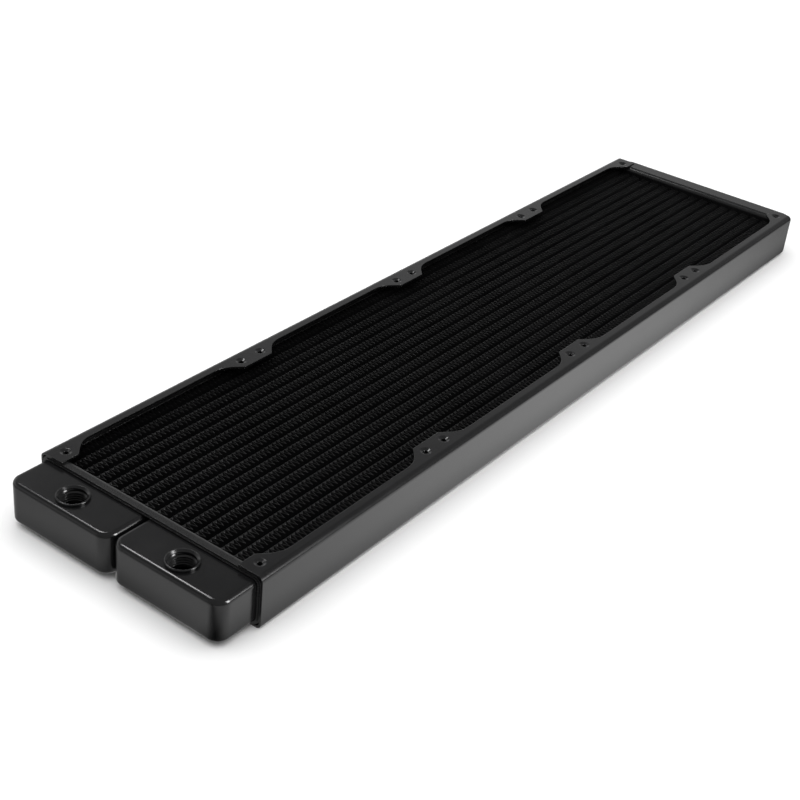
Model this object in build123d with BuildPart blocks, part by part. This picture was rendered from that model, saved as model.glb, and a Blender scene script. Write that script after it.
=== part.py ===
from build123d import *
import os

# Liquid cooling radiator for four 140 mm fans in a row. All sizes are in millimetres.
# +X runs along the body, away from the ports. +Y is the left-hand side and +Z is up.
# The origin is at the bottom, under the middle of the whole object.

# Driving dimensions of the body
fan_bays = 4
bay_pitch = 140.0
screw_spacing = 124.5
body_width = 142.0
body_thickness = 29.0
tank_reach = 24.0
return_reach = 10.5

# Side channels: folded sheet with a boss on each lip where the screw holes are
channel_sheet = 1.2
fold_radius = 3.0
lip_edge = 64.6
boss_edge = 56.4
boss_tip_half = 10.6
boss_root_half = 19.8
boss_root_radius = 16.0
boss_tip_radius = 1.0

# Pressed and tapped M3 screw holes in the lips
thread_radius = 1.25
dimple_radius = 2.9
dimple_angle = 131.0
dimple_edge_radius = 0.8
collar_radius = 2.2
collar_flare = 1.0
collar_flare_height = 0.6
collar_drop = 2.1

# Core of flat tubes and folded fins
tube_count = 16
tube_pitch = 8.1
tube_thickness = 2.0
tube_wall = 0.3
tube_projection = 0.6
tube_recess = 2.0
core_depth = 17.0
core_port_end = 273.9
core_return_end = 271.3
fin_waves = 181
fin_tip = 0.55
side_plate_sheet = 1.0

# Header plates, and the tank base nested in the one at the ports
header_sheet = 0.9
header_bend = 3.0
header_corner = 3.9
return_header_depth = 3.6
relief_radius = 3.5
relief_depth = 2.6
base_sheet = 0.8
base_bend = 1.5
base_depth = 4.3
base_projection = 0.5
base_window_margin = 4.0
divider_width = 3.0

# Inlet, outlet and return tanks
tank_wall = 1.2
tank_gap = 1.5
tank_clearance = 0.15
tank_rim_chamfer = 0.8
tank_corner_radius = 7.0
tank_edge_radius = 2.5
return_collar_depth = 2.4

# Port bushes with a G1/4 thread, bored to the thread's major radius
port_spacing = 70.0
port_setback = 11.5
port_bore_radius = 6.58
port_chamfer = 1.0
bush_collar_radius = 8.2
bush_collar_height = 1.5
bush_edge_radius = 0.5
bush_neck_radius = 7.7
bush_depth = 8.0

# Worked out from the driving dimensions
body_length = fan_bays * bay_pitch
body_x = (tank_reach - return_reach) / 2
body_end = body_length / 2
mid_height = body_thickness / 2
bay_edges = [(bay - fan_bays / 2) * bay_pitch for bay in range(fan_bays + 1)]
bay_centres = [edge + bay_pitch / 2 for edge in bay_edges[:-1]]
screw_x = [bay + end * screw_spacing / 2 for bay in bay_centres for end in (-1, 1)]
core_bottom = (body_thickness - core_depth) / 2
tube_depth = core_depth - 2 * tube_recess
core_length = core_port_end + core_return_end
tube_overrun = header_sheet + tube_projection
fin_height = tube_pitch - tube_thickness
fin_pitch = core_length / fin_waves
web_inside = body_width / 2 - channel_sheet
lip_inside = body_thickness - channel_sheet
header_width = 2 * web_inside
header_height = body_thickness - 2 * channel_sheet
base_width = header_width - 2 * header_sheet
base_height = header_height - 2 * header_sheet
base_corner = header_corner - header_sheet
base_start = body_end + base_projection - base_depth
tank_half_width = base_width / 2 - base_sheet - tank_clearance
tank_top = mid_height + base_height / 2 - base_sheet - tank_clearance
tank_height = 2 * (tank_top - mid_height)
tank_front = body_end + tank_reach
header_floor = core_port_end + header_sheet
return_floor = core_return_end + header_sheet
port_x = port_setback - tank_front


def level(height):
    """Horizontal plane over the middle of the side channels."""
    return Plane(origin=(body_x, 0, height))


def station(distance):
    """Plane across the body, facing +X, at half height."""
    return Plane(origin=(body_x + distance, 0, mid_height), x_dir=(0, 1, 0), z_dir=(1, 0, 0))


def save(part, name):
    part.label = name
    export_step(part, f"parts/{name}.step")


def rounded_block(face_distance, depth, width, height, corner, bend, opens):
    """Block across the body, with rounded edges round the face that lies at face_distance."""
    with BuildPart() as block:
        with BuildSketch(station(face_distance)):
            RectangleRounded(width, height, corner)
        extrude(amount=opens * depth)
        closed_face = block.faces().sort_by(Axis.X)[0 if opens > 0 else -1]
        fillet(closed_face.edges(), radius=bend)
    return block.part


def tray(face_distance, depth, width, height, corner, bend, sheet, opens):
    """Drawn sheet tray. Its floor's flat face is at face_distance and its rim runs towards opens."""
    inner_size = (width - 2 * sheet, height - 2 * sheet, corner - sheet, bend - sheet)
    with BuildPart() as shape:
        add(rounded_block(face_distance, depth, width, height, corner, bend, opens))
        add(
            rounded_block(face_distance + opens * sheet, depth, *inner_size, opens),
            mode=Mode.SUBTRACT,
        )
    return shape.part


def header_plate(core_end, depth, opens):
    """Header tray with a slot for each flat tube. Its floor lies against the core at core_end."""
    with BuildPart() as header:
        add(
            tray(
                core_end,
                depth,
                header_width,
                header_height,
                header_corner,
                header_bend,
                header_sheet,
                opens,
            )
        )
        with BuildSketch(station(core_end)):
            with GridLocations(tube_pitch, 0, tube_count, 1):
                SlotOverall(tube_depth, tube_thickness, rotation=90)
        extrude(amount=opens * header_sheet, mode=Mode.SUBTRACT)
    return header.part


def tank_block(front, back, middle, width, inset):
    """Solid tank shape between its front and its open back, smaller by inset on the other faces."""
    outwards = 1 if front > back else -1
    with BuildPart() as block:
        with BuildSketch(level(tank_top - tank_height + inset)) as footprint:
            with Locations(((front + back) / 2 - outwards * inset, middle)):
                Rectangle(abs(front - back), width - 2 * inset)
            front_corners = footprint.vertices().sort_by(Axis.X, reverse=outwards > 0)[:2]
            fillet(front_corners, radius=tank_corner_radius - inset)
        extrude(amount=tank_height - 2 * inset)
        open_face = block.faces().sort_by(Axis.X, reverse=outwards > 0)[-1]
        level_edges = block.edges().group_by(Axis.Z)
        rims = level_edges[0] + level_edges[-1]
        rounded = rims.filter_by(
            lambda edge: outwards * (edge.center().X - open_face.center().X) > tank_wall
        )
        fillet(rounded, radius=tank_edge_radius - inset)
    return block.part


os.makedirs("parts", exist_ok=True)

# Left side channel: half of the U section with its top lip, then mirrored about half height
with BuildPart() as left_side_channel:
    with BuildSketch(station(-body_end)):
        with Locations((body_width / 2, 0)):
            Rectangle(body_width / 2 - lip_edge, mid_height, align=(Align.MAX, Align.MIN))
    extrude(amount=body_length)
    with BuildSketch(level(lip_inside)) as lip:
        with Locations((0, lip_edge)):
            Rectangle(
                body_length + 4 * boss_root_half,
                web_inside - lip_edge,
                align=(Align.CENTER, Align.MIN),
            )
        with Locations([(edge, 0) for edge in bay_edges]):
            Polygon(
                (-boss_root_half, lip_edge),
                (-boss_tip_half, boss_edge),
                (boss_tip_half, boss_edge),
                (boss_root_half, lip_edge),
                align=None,
            )
        lip_corners = lip.vertices().group_by(Axis.Y)
        fillet(lip_corners[1].sort_by(Axis.X)[1:-1], radius=boss_root_radius)
        fillet(lip.vertices().group_by(Axis.Y)[0], radius=boss_tip_radius)
        Rectangle(body_length, body_width, mode=Mode.INTERSECT)
    extrude(amount=channel_sheet)
    outer_fold = left_side_channel.edges().filter_by(Axis.X).group_by(Axis.Y)[-1].sort_by(Axis.Z)[-1]
    fillet(outer_fold, radius=fold_radius)
    with BuildSketch(station(-body_end)) as inside:
        with Locations((web_inside, 0)):
            Rectangle(
                web_inside - boss_edge + boss_tip_radius,
                lip_inside - mid_height,
                align=(Align.MAX, Align.MIN),
            )
        inner_corner = inside.vertices().group_by(Axis.Y)[-1].sort_by(Axis.X)[-1]
        fillet(inner_corner, radius=fold_radius - channel_sheet)
    extrude(amount=body_length, mode=Mode.SUBTRACT)
    screw_places = [(body_x + x, screw_spacing / 2) for x in screw_x]
    with Locations([(x, y, lip_inside) for x, y in screw_places]):
        Cone(
            collar_radius,
            collar_radius + collar_flare,
            collar_flare_height,
            align=(Align.CENTER, Align.CENTER, Align.MAX),
        )
        Cylinder(
            collar_radius,
            collar_drop - channel_sheet,
            align=(Align.CENTER, Align.CENTER, Align.MAX),
        )
    with Locations([(x, y, body_thickness) for x, y in screw_places]):
        CounterSinkHole(
            thread_radius,
            dimple_radius,
            depth=collar_drop,
            counter_sink_angle=dimple_angle,
        )
    top_circles = left_side_channel.edges().filter_by(GeomType.CIRCLE).group_by(Axis.Z)[-1]
    fillet(top_circles.filter_by(lambda edge: edge.is_closed), radius=dimple_edge_radius)
    mirror(about=level(mid_height))
save(left_side_channel.part, "left_side_channel")

with BuildPart() as right_side_channel:
    mirror(left_side_channel.part, about=Plane.XZ)
save(right_side_channel.part, "right_side_channel")

# Header plates
with BuildPart() as port_header_plate:
    add(header_plate(-core_port_end, body_end - core_port_end, -1))
save(port_header_plate.part, "port_header_plate")

with BuildPart() as return_header_plate:
    add(header_plate(core_return_end, return_header_depth, 1))
    # Reliefs that keep the rim clear of the last screw collars
    with Locations(
        [
            (body_x + screw_x[-1], side * screw_spacing / 2, face)
            for side in (-1, 1)
            for face in (0, body_thickness)
        ]
    ):
        Cylinder(relief_radius, 2 * relief_depth, mode=Mode.SUBTRACT)
save(return_header_plate.part, "return_header_plate")

# Tank base: a tray nested in the port header plate, with a window into each tank
with BuildPart() as tank_base:
    add(
        tray(
            -base_start,
            base_depth,
            base_width,
            base_height,
            base_corner,
            base_bend,
            base_sheet,
            -1,
        )
    )
    window_length = (base_width - divider_width) / 2 - base_window_margin
    with BuildSketch(station(-base_start)):
        with GridLocations(window_length + divider_width, 0, 2, 1):
            RectangleRounded(window_length, core_depth + tube_thickness, tube_thickness)
    extrude(amount=-base_sheet, mode=Mode.SUBTRACT)
save(tank_base.part, "tank_base")

# Divider that keeps the incoming and outgoing coolant apart behind the tank base
with BuildPart() as header_divider:
    with BuildSketch(station(-header_floor)):
        Rectangle(divider_width, base_height)
    extrude(amount=header_floor - base_start)
    add(
        rounded_block(
            -header_floor,
            base_depth,
            base_width,
            base_height,
            base_corner,
            header_bend - header_sheet,
            -1,
        ),
        mode=Mode.INTERSECT,
    )
save(header_divider.part, "header_divider")

# Inlet and outlet tanks with their port bushes
tank_back = base_start + base_sheet
tank_middle = (tank_gap / 2 + tank_half_width) / 2
tank_width = tank_half_width - tank_gap / 2
for side, flow in ((1, "inlet"), (-1, "outlet")):
    with BuildPart() as tank:
        add(tank_block(-tank_front, -tank_back, side * tank_middle, tank_width, 0))
        add(
            tank_block(-tank_front, -tank_back, side * tank_middle, tank_width, tank_wall),
            mode=Mode.SUBTRACT,
        )
        rim = tank.faces().sort_by(Axis.X)[-1].outer_wire().edges()
        chamfer(rim, length=tank_rim_chamfer)
        with BuildSketch(level(tank_top)):
            with Locations((port_x, side * port_spacing / 2)):
                Circle(bush_neck_radius)
        extrude(amount=-tank_wall, mode=Mode.SUBTRACT)
    save(tank.part, f"{flow}_tank")

    with BuildPart() as bush:
        with BuildSketch(level(tank_top - bush_depth)):
            with Locations((port_x, side * port_spacing / 2)):
                Circle(bush_neck_radius)
        extrude(amount=bush_depth)
        with BuildSketch(level(tank_top)):
            with Locations((port_x, side * port_spacing / 2)):
                Circle(bush_collar_radius)
        extrude(amount=bush_collar_height)
        fillet(bush.edges().group_by(Axis.Z)[-1], radius=bush_edge_radius)
        with BuildSketch(level(tank_top - bush_depth)):
            with Locations((port_x, side * port_spacing / 2)):
                Circle(port_bore_radius)
        extrude(amount=bush_depth + bush_collar_height, mode=Mode.SUBTRACT)
        mouth = bush.edges().group_by(Axis.Z)[-1].sort_by(SortBy.LENGTH)[0]
        chamfer(mouth, length=port_chamfer)
    save(bush.part, f"{flow}_port_bush")

# Return tank across the whole width, with a collar seated in the return header plate
return_front = body_end + return_reach
with BuildPart() as return_tank:
    add(tank_block(return_front, return_floor + tank_rim_chamfer, 0, 2 * tank_half_width, 0))
    add(
        rounded_block(
            return_floor,
            return_collar_depth,
            base_width,
            base_height,
            base_corner,
            header_bend - header_sheet,
            1,
        )
    )
    add(
        tank_block(return_front, return_floor, 0, 2 * tank_half_width, tank_wall),
        mode=Mode.SUBTRACT,
    )
save(return_tank.part, "return_tank")

# Core side plates: shallow channels between the outermost fins and the side channels
side_plate_face = (tube_count + 1) * tube_pitch / 2 - tube_thickness / 2
for side, name in ((1, "left_core_side_plate"), (-1, "right_core_side_plate")):
    with BuildPart() as side_plate:
        with BuildSketch(station(-core_port_end)):
            with Locations((side * (side_plate_face + web_inside) / 2, 0)):
                Rectangle(web_inside - side_plate_face, core_depth)
            with Locations((side * (side_plate_face + side_plate_sheet + web_inside) / 2, 0)):
                Rectangle(
                    web_inside - side_plate_face - side_plate_sheet,
                    core_depth - 2 * side_plate_sheet,
                    mode=Mode.SUBTRACT,
                )
        extrude(amount=core_length)
    save(side_plate.part, name)

# Flat tubes, which pass through both header plates
for number in range(tube_count):
    tube_y = (number - (tube_count - 1) / 2) * tube_pitch
    with BuildPart() as tube:
        with BuildSketch(station(-core_port_end - tube_overrun)):
            with Locations((tube_y, 0)):
                SlotOverall(tube_depth, tube_thickness, rotation=90)
                SlotOverall(
                    tube_depth - 2 * tube_wall,
                    tube_thickness - 2 * tube_wall,
                    rotation=90,
                    mode=Mode.SUBTRACT,
                )
        extrude(amount=core_length + 2 * tube_overrun)
    save(tube.part, f"flat_tube_{number + 1:02d}")

# Folded fin strips, one on each side of every tube. A fold's crests touch the tube walls.
upper_fold = [fin_height / 2, fin_tip - fin_height / 2]
lower_fold = [fin_height / 2 - fin_tip, -fin_height / 2]
fold_x = [fold * fin_pitch / 2 - core_port_end for fold in range(2 * fin_waves + 1)]
upper_line = [(x, upper_fold[fold % 2]) for fold, x in enumerate(fold_x)]
lower_line = [(x, lower_fold[fold % 2]) for fold, x in enumerate(fold_x)]
for number in range(tube_count + 1):
    strip_y = (number - tube_count / 2) * tube_pitch
    with BuildPart() as strip:
        with BuildSketch(Plane(origin=(body_x, strip_y, core_bottom))):
            with BuildLine():
                Polyline(*upper_line, *reversed(lower_line), close=True)
            make_face()
        extrude(amount=core_depth)
    save(strip.part, f"fin_strip_{number + 1:02d}")
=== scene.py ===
import math

import bpy
from mathutils import Matrix, Vector


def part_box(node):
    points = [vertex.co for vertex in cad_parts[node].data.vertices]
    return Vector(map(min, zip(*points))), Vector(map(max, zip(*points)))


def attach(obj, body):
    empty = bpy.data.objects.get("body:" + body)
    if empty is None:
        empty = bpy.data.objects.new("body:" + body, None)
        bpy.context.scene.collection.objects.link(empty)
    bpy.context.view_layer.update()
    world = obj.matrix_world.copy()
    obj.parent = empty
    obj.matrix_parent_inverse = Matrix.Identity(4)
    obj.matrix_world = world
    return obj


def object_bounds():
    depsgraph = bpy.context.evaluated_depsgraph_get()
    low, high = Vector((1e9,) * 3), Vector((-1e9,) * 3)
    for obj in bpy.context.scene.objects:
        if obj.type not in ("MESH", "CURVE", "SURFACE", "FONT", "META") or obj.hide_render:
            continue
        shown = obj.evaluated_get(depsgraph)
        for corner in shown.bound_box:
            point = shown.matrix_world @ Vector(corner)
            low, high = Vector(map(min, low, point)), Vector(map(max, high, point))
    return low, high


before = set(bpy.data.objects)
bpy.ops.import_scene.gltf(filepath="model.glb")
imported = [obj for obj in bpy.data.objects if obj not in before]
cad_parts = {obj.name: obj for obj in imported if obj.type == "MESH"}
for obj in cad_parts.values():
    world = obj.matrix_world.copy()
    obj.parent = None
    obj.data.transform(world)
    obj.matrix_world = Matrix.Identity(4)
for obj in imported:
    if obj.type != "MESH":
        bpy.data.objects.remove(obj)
cad_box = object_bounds()

# A black liquid cooling radiator, in metres. +X runs away from the ports and +Z is up.
MM = 0.001

# Camera: it looks down along the body from beyond the outlet tank. Angles are in degrees.
AIM_X = -0.11135
AIM_Y = -0.0236
AIM_DISTANCE = 0.7714
CAMERA_AZIMUTH = -56.13
CAMERA_ELEVATION = 31.23
CAMERA_ROLL = 6.05
CAMERA_LENS = 65.76
SENSOR_WIDTH = 36.0
CLIP_START = 0.01
CLIP_END = 50.0

# Soft boxes: name, azimuth and elevation from the outlet tank, width, height and brightness
BOX_DISTANCE = 1.3
SOFT_BOXES = [
    ("side_box", -68.0, 27.0, 0.38, 0.75, 18.0),
    ("side_glow", -56.5, 26.0, 0.22, 0.70, 4.0),
    ("back_box", 66.0, 53.0, 0.34, 0.20, 13.0),
    ("back_glow", 87.0, 52.0, 0.45, 0.40, 1.2),
]

# Ceiling light and floor
CEILING_SIZE = 4.0
CEILING_HEIGHT = 2.2
CEILING_POWER = 97.0
FLOOR_HALF = 6.0
FLOOR_TONE = 0.95

# Surroundings: glow against upward slope on the left, and the even glow that it fades to
SKY_GLOW = [(0.0, 1.0), (0.37, 0.62), (0.50, 0.45), (0.56, 0.28), (0.62, 0.14), (0.72, 0.02)]
GLOW_AZIMUTH = 80.0
GLOW_EDGES = (0.2, 0.7)
RIGHT_GLOW = 0.28

# Painted pools of light and painted shade on a glowing sheet that the paint reflects in place of the
# floor; negative glow is painted shade near the side's foot, the tank fronts and a tank corner: x, y,
# reach in x, y, and glow
POOLS = [
    (-0.030, -0.10, 0.62, 0.50, 1.42),
    (0.000, -0.066, 1.50, 0.020, -0.70),
    (-0.300, 0.000, 0.016, 0.12, -0.50),
    (-0.308, -0.078, 0.018, 0.018, -0.30),
]
FLOOR_GLOW = 0.05

# Paint: how many cells of each texture fit in a metre, and how strongly each one shows
CLOUD_SCALE = 35.0
PATCH_SCALE = 260.0
RIPPLE_SCALE = 700.0
GRAIN_SCALE = 2600.0
CLOUD_TONE = 1.5
CLOUD_GLOSS = 0.12
DUST_TONE = 5.0
DUST_COVER = 0.35
GRAIN_GLOSS = 0.03
GRAIN_BUMP = 0.35
BUMP_DEPTH = 0.04 * MM
WEAR = 0.35
WORN_TONE = 0.12
COOL_TINT = 1.06
WARM_TINT = 0.98
PAINT_IOR = 1.5
BEVEL_SAMPLES = 4

# Port threads: helical ridges that stand in from the bore
THREAD_PITCH = 1.337 * MM
THREAD_MAJOR = 6.578 * MM
THREAD_MINOR = 5.72 * MM
THREAD_TOP_GAP = 1.1 * MM
THREAD_SINK = 0.05 * MM
THREAD_CREST_DROP = 0.12 * MM
THREAD_CREST_SHARE = 0.1
THREAD_FADE_TURNS = 0.5
THREAD_STEPS = 64


def grey(value, tint=1.0):
    return (value, value, value * tint, 1.0)


def add_object(name, data):
    made = bpy.data.objects.new(name, data)
    bpy.context.collection.objects.link(made)
    return made


class Nodes:
    """Short names for building the nodes of a material or of the world."""

    def __init__(self, owner):
        owner.use_nodes = True
        self.tree = owner.node_tree

    def put(self, value, socket):
        if isinstance(value, bpy.types.NodeSocket):
            self.tree.links.new(value, socket)
        else:
            socket.default_value = value

    def make(self, kind, **sockets):
        node = self.tree.nodes.new(kind)
        for name, value in sockets.items():
            self.put(value, node.inputs[name.replace("_", " ")])
        return node

    def maths(self, operation, first, second):
        node = self.make("ShaderNodeMath")
        node.operation = operation
        self.put(first, node.inputs[0])
        self.put(second, node.inputs[1])
        return node.outputs[0]

    def vector_maths(self, operation, *vectors):
        node = self.make("ShaderNodeVectorMath")
        node.operation = operation
        for vector, socket in zip(vectors, node.inputs):
            self.put(vector, socket)
        return node

    def coordinates(self, kind):
        return self.make("ShaderNodeTexCoord").outputs[kind]

    def noise(self, scale, detail=2.0, roughness=0.5):
        node = self.make("ShaderNodeTexNoise", Scale=scale, Detail=detail, Roughness=roughness)
        self.put(self.coordinates("Object"), node.inputs["Vector"])
        return node.outputs["Fac"]

    def spread(self, value, low, high, out_low, out_high, interpolation="LINEAR"):
        """Maps low..high to out_low..out_high, clamped."""
        node = self.make("ShaderNodeMapRange", Value=value)
        node.interpolation_type = interpolation
        node.inputs["From Min"].default_value = low
        node.inputs["From Max"].default_value = high
        node.inputs["To Min"].default_value = out_low
        node.inputs["To Max"].default_value = out_high
        return node.outputs["Result"]

    def mix(self, factor, first, second):
        node = self.make("ShaderNodeMix")
        node.data_type = "RGBA"
        first_colour, second_colour = [s for s in node.inputs if s.type == "RGBA"]
        self.put(factor, node.inputs["Factor"])
        self.put(first, first_colour)
        self.put(second, second_colour)
        return [s for s in node.outputs if s.type == "RGBA"][0]


def make_camera():
    """Camera at the product shot's angle."""
    azimuth = math.radians(CAMERA_AZIMUTH)
    elevation = math.radians(CAMERA_ELEVATION)
    forward = Vector((
        -math.sin(azimuth) * math.cos(elevation),
        math.cos(azimuth) * math.cos(elevation),
        -math.sin(elevation),
    ))
    data = bpy.data.cameras.new("camera")
    data.lens = CAMERA_LENS
    data.sensor_width = SENSOR_WIDTH
    data.clip_start = CLIP_START
    data.clip_end = CLIP_END
    camera = add_object("camera", data)
    camera.rotation_mode = "QUATERNION"
    turn = Matrix.Rotation(math.radians(CAMERA_ROLL), 3, "Z").to_quaternion()
    camera.rotation_quaternion = (-forward).to_track_quat("Z", "Y") @ turn
    camera.location = Vector((AIM_X, AIM_Y, cad_box[1].z)) - forward * AIM_DISTANCE
    bpy.context.scene.camera = camera


def make_soft_box(name, azimuth, elevation, width, height, glow):
    """Soft box that faces the outlet tank and makes a highlight along the edges."""
    data = bpy.data.lights.new(name, "AREA")
    data.shape = "RECTANGLE"
    data.size = width
    data.size_y = height
    data.energy = glow * math.pi * width * height
    light = add_object(name, data)
    low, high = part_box("outlet_tank")
    turn = math.radians(azimuth)
    rise = math.radians(elevation)
    outwards = Vector((
        math.cos(turn) * math.cos(rise),
        math.sin(turn) * math.cos(rise),
        math.sin(rise),
    ))
    light.location = (low + high) / 2 + outwards * BOX_DISTANCE
    light.rotation_mode = "QUATERNION"
    light.rotation_quaternion = outwards.to_track_quat("Z", "Y")
    light.visible_diffuse = False


def make_ceiling():
    """Wide overhead light that makes the floor white and shows in no reflection."""
    data = bpy.data.lights.new("ceiling", "AREA")
    data.shape = "SQUARE"
    data.size = CEILING_SIZE
    data.energy = CEILING_POWER
    light = add_object("ceiling", data)
    light.location = (0.0, 0.0, CEILING_HEIGHT)
    light.visible_glossy = False


def flat_sheet(name, height, material):
    """Large level square that belongs to the studio."""
    mesh = bpy.data.meshes.new(name)
    half = FLOOR_HALF
    corners = [(-half, -half), (half, -half), (half, half), (-half, half)]
    mesh.from_pydata([(x, y, height) for x, y in corners], [], [(0, 1, 2, 3)])
    mesh.materials.append(material)
    sheet = add_object(name, mesh)
    return sheet


def make_floor():
    """Plain pale floor. Glossy paint sees the painted pools of light and shade in its place."""
    material = bpy.data.materials.new("floor")
    material.use_nodes = True
    shader = material.node_tree.nodes["Principled BSDF"]
    shader.inputs["Base Color"].default_value = grey(FLOOR_TONE)
    shader.inputs["Roughness"].default_value = 0.9
    shader.inputs["Specular IOR Level"].default_value = 0.1
    floor = flat_sheet("floor", 0.0, material)
    floor.visible_glossy = False


def make_pools():
    """Glowing sheet just under the floor, which only reflections show, with painted pools of light
    and painted shade on it.
    """
    material = bpy.data.materials.new("floor_pools")
    n = Nodes(material)
    n.tree.nodes.clear()
    place = n.coordinates("Object")
    glow = FLOOR_GLOW
    # Each pool adds painted light to the glow, or painted shade where its glow is negative
    for x, y, reach_x, reach_y, strength in POOLS:
        away = n.vector_maths("SUBTRACT", place, (x, y, 0.0)).outputs["Vector"]
        stretch = (1 / reach_x, 1 / reach_y, 0.0)
        scaled = n.vector_maths("MULTIPLY", away, stretch).outputs["Vector"]
        distance = n.vector_maths("LENGTH", scaled).outputs["Value"]
        fade = n.spread(distance, 0.0, 1.0, strength, 0.0, "SMOOTHSTEP")
        glow = n.maths("ADD", glow, fade)
    lamp = n.make("ShaderNodeEmission", Strength=glow)
    n.make("ShaderNodeOutputMaterial", Surface=lamp.outputs["Emission"])
    pools = flat_sheet("floor_pools", -MM, material)
    pools.visible_camera = False
    pools.visible_diffuse = False
    pools.visible_shadow = False


def make_world():
    """Surroundings that fade from the left horizon upwards, and round to the right."""
    world = bpy.data.worlds.new("studio")
    bpy.context.scene.world = world
    n = Nodes(world)
    direction = n.coordinates("Generated")
    slope = n.make("ShaderNodeSeparateXYZ", Vector=direction).outputs["Z"]
    upwards = n.make("ShaderNodeValToRGB", Fac=slope)
    ramp = upwards.color_ramp.elements
    ramp[0].position, ramp[1].position = SKY_GLOW[0][0], SKY_GLOW[-1][0]
    for position, glow in SKY_GLOW[1:-1]:
        ramp.new(position)
    for element, (position, glow) in zip(ramp, SKY_GLOW):
        element.color = grey(glow)

    turn = math.radians(GLOW_AZIMUTH)
    left = (math.cos(turn), math.sin(turn), 0.0)
    facing = n.vector_maths("DOT_PRODUCT", direction, left).outputs["Value"]
    both = n.make("ShaderNodeMix", Factor=n.spread(facing, *GLOW_EDGES, 0.0, 1.0))
    both.inputs["A"].default_value = RIGHT_GLOW
    n.put(upwards.outputs["Color"], both.inputs["B"])
    background = n.tree.nodes["Background"]
    background.inputs["Color"].default_value = grey(1.0)
    n.put(both.outputs["Result"], background.inputs["Strength"])


def make_studio():
    """Floor, surroundings and lights, shown without a film look."""
    make_floor()
    make_pools()
    make_world()
    make_ceiling()
    for soft_box in SOFT_BOXES:
        make_soft_box(*soft_box)
    bpy.context.scene.view_settings.view_transform = "Standard"


def paint(name, tone, roughness, peel, edge_radius):
    """Black baked paint: fine orange peel, uneven gloss, dust in it and thinner paint along edges."""
    material = bpy.data.materials.new(name)
    n = Nodes(material)
    shader = n.tree.nodes["Principled BSDF"]
    cloud = n.noise(CLOUD_SCALE, 4.0, 0.6)
    grain = n.noise(GRAIN_SCALE, 3.0, 0.6)
    ripple = n.noise(RIPPLE_SCALE)
    patch = n.noise(PATCH_SCALE, 4.0, 0.7)

    # The rounded normal softens cut edges, and where it leaves the true normal the paint is thin
    bevel = n.make("ShaderNodeBevel", Radius=edge_radius)
    bevel.samples = BEVEL_SAMPLES
    rounded = bevel.outputs["Normal"]
    true_normal = n.make("ShaderNodeNewGeometry").outputs["Normal"]
    agreement = n.vector_maths("DOT_PRODUCT", rounded, true_normal).outputs["Value"]
    edge = n.spread(agreement, 0.995, 0.85, 0.0, 1.0)
    patchy = n.spread(patch, 0.42, 0.62, 0.1, 1.0)
    thin = n.maths("MULTIPLY", n.maths("MULTIPLY", edge, patchy), WEAR)

    clouded = n.spread(cloud, 0.3, 0.7, 0.0, 1.0)
    body = n.mix(clouded, grey(tone, COOL_TINT), grey(tone * CLOUD_TONE, COOL_TINT))
    speck = n.spread(grain, 0.66, 0.74, 0.0, DUST_COVER)
    dusty = n.mix(speck, body, grey(tone * DUST_TONE))
    n.put(n.mix(thin, dusty, grey(WORN_TONE, WARM_TINT)), shader.inputs["Base Color"])

    least, most = roughness * (1 - CLOUD_GLOSS), roughness * (1 + CLOUD_GLOSS)
    uneven = n.spread(cloud, 0.3, 0.7, least, most)
    fine = n.spread(grain, 0.3, 0.7, -GRAIN_GLOSS, GRAIN_GLOSS)
    n.put(n.maths("ADD", uneven, fine), shader.inputs["Roughness"])
    shader.inputs["IOR"].default_value = PAINT_IOR

    height = n.maths("ADD", ripple, n.maths("MULTIPLY", grain, GRAIN_BUMP))
    bump = n.make("ShaderNodeBump", Strength=peel, Distance=BUMP_DEPTH, Height=height, Normal=rounded)
    n.put(bump.outputs["Normal"], shader.inputs["Normal"])
    return material


def dress(names, material):
    """Gives CAD nodes a material in all their slots."""
    for name in names:
        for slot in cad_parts[name].material_slots:
            slot.material = material


def nodes_named(start):
    return [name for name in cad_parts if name.startswith(start)]


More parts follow.
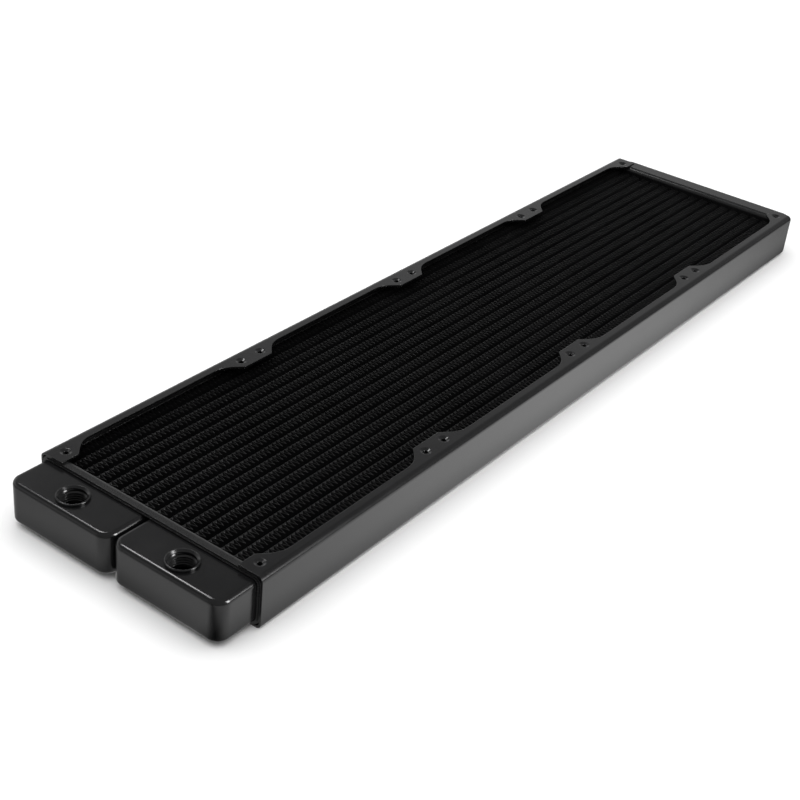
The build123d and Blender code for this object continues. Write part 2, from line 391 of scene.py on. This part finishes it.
def make_thread(name, bush, material):
    """Right-handed ridge along the bore of a port bush, which fades out at both ends."""
    low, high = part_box(bush)
    centre = (low + high) / 2
    top = high.z - THREAD_TOP_GAP
    turns = (top - low.z - THREAD_PITCH) / THREAD_PITCH
    steps = int(turns * THREAD_STEPS)
    half = THREAD_PITCH * 0.5
    root = THREAD_MAJOR + THREAD_SINK
    shoulder = THREAD_MINOR + THREAD_CREST_DROP
    shoulder_rise = THREAD_CREST_SHARE * half
    profile = [
        (root, half),
        (shoulder, shoulder_rise),
        (THREAD_MINOR, 0.0),
        (shoulder, -shoulder_rise),
        (root, -half),
    ]
    vertices = []
    for step in range(steps + 1):
        angle = 2 * math.pi * step / THREAD_STEPS
        from_end = min(step, steps - step) / THREAD_STEPS
        fade = min(1.0, from_end / THREAD_FADE_TURNS)
        middle = top - half - THREAD_PITCH * step / THREAD_STEPS
        for radius, rise in profile:
            reach = root + (radius - root) * fade
            x = centre.x + reach * math.cos(angle)
            y = centre.y + reach * math.sin(angle)
            vertices.append((x, y, middle + rise))
    count = len(profile)
    starts = [step * count + k for step in range(steps) for k in range(count - 1)]
    faces = [(a, a + 1, a + 1 + count, a + count) for a in starts]
    mesh = bpy.data.meshes.new(name)
    mesh.from_pydata(vertices, [], faces)
    mesh.update()
    for polygon in mesh.polygons:
        polygon.use_smooth = True
    mesh.materials.append(material)
    thread = add_object(name, mesh)
    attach(thread, "root")


make_camera()
make_studio()

channel_paint = paint("channel_paint", tone=0.0045, roughness=0.22, peel=0.4, edge_radius=0.35 * MM)
header_paint = paint("header_paint", tone=0.004, roughness=0.28, peel=0.4, edge_radius=0.3 * MM)
tank_paint = paint("tank_paint", tone=0.004, roughness=0.18, peel=0.4, edge_radius=0.25 * MM)
bush_paint = paint("bush_paint", tone=0.004, roughness=0.22, peel=0.3, edge_radius=0.2 * MM)
tube_paint = paint("tube_paint", tone=0.0045, roughness=0.4, peel=0.5, edge_radius=0.2 * MM)
fin_paint = paint("fin_paint", tone=0.0045, roughness=0.4, peel=0.5, edge_radius=0.05 * MM)

dress(["left_side_channel", "right_side_channel"], channel_paint)
dress(["port_header_plate", "return_header_plate", "tank_base", "header_divider"], header_paint)
dress(["left_core_side_plate", "right_core_side_plate"], header_paint)
dress(["inlet_tank", "outlet_tank", "return_tank"], tank_paint)
dress(["inlet_port_bush", "outlet_port_bush"], bush_paint)
dress(nodes_named("flat_tube"), tube_paint)
dress(nodes_named("fin_strip"), fin_paint)

for flow in ("inlet", "outlet"):
    make_thread(f"{flow}_port_thread", f"{flow}_port_bush", bush_paint)
